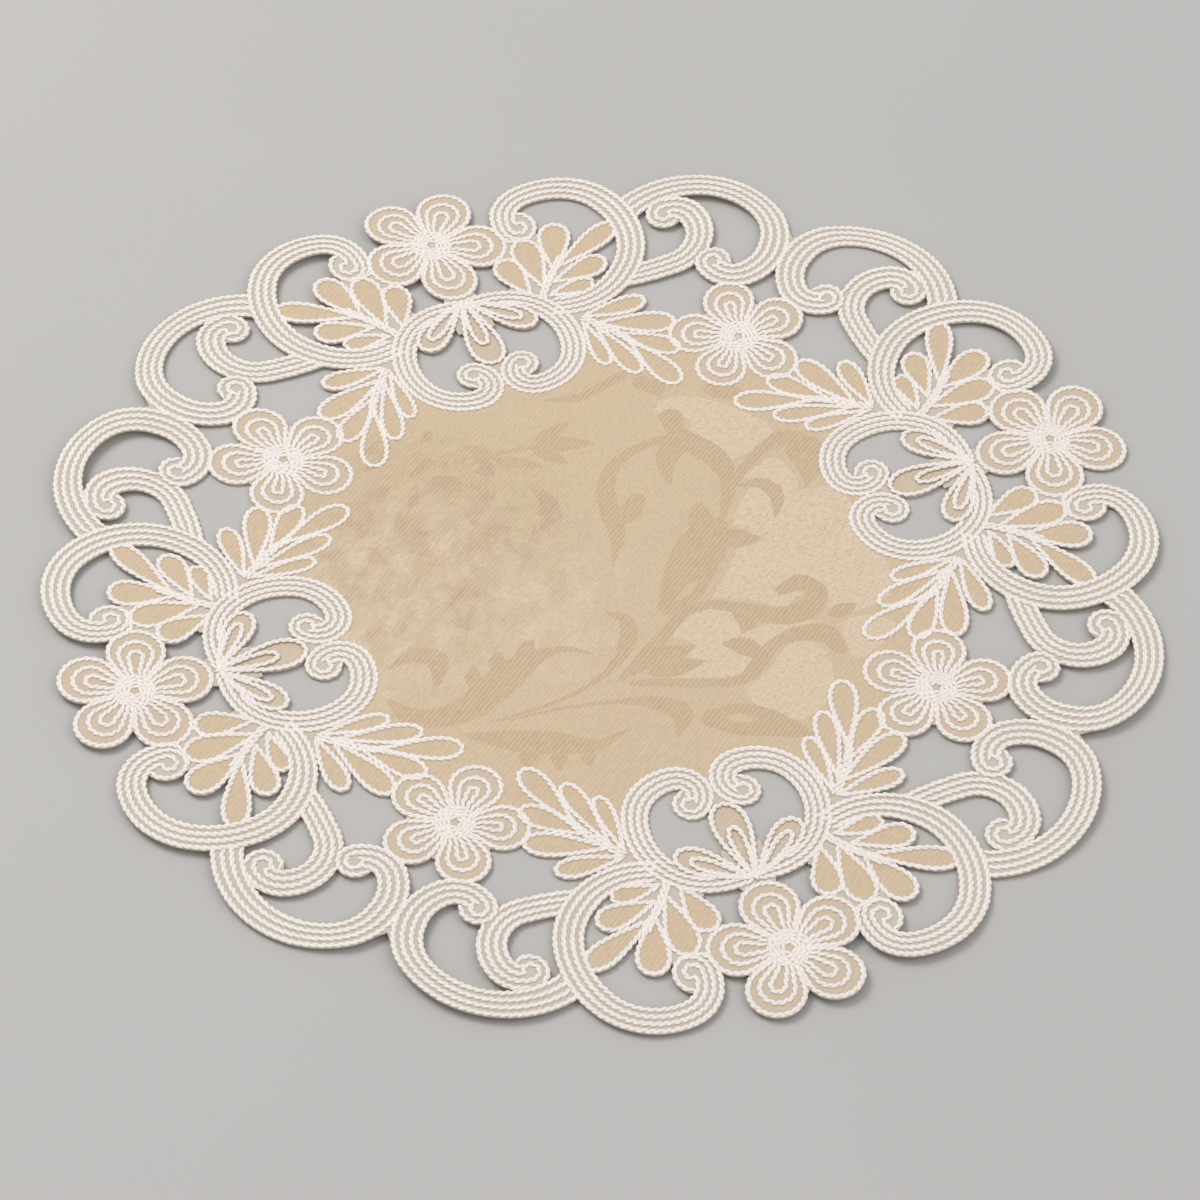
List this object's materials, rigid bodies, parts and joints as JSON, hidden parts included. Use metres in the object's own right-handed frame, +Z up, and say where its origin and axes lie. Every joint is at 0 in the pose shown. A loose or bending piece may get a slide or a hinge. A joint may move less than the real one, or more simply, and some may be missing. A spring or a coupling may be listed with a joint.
{
  "type": "lace doily",
  "caption": "Round flat table doily of damask cloth with an openwork border of scrolls, leaf sprays and flowers, cut out and outlined in cord stitch.",
  "frame": {"origin": "centre of the doily, on the face it lies on", "axes": "+Z up out of the table, +Y and +X each through the middle of a flower on the edge"},
  "size_m": [0.3026, 0.3051, 0.0015],
  "materials": {
    "damask_cloth": "matt beige damask with a slightly darker twill figure",
    "cord_stitch": "off-white cord stitch with a soft sheen"
  },
  "bodies": {
    "root": {"doily": "damask_cloth"}
  },
  "joints": []
}
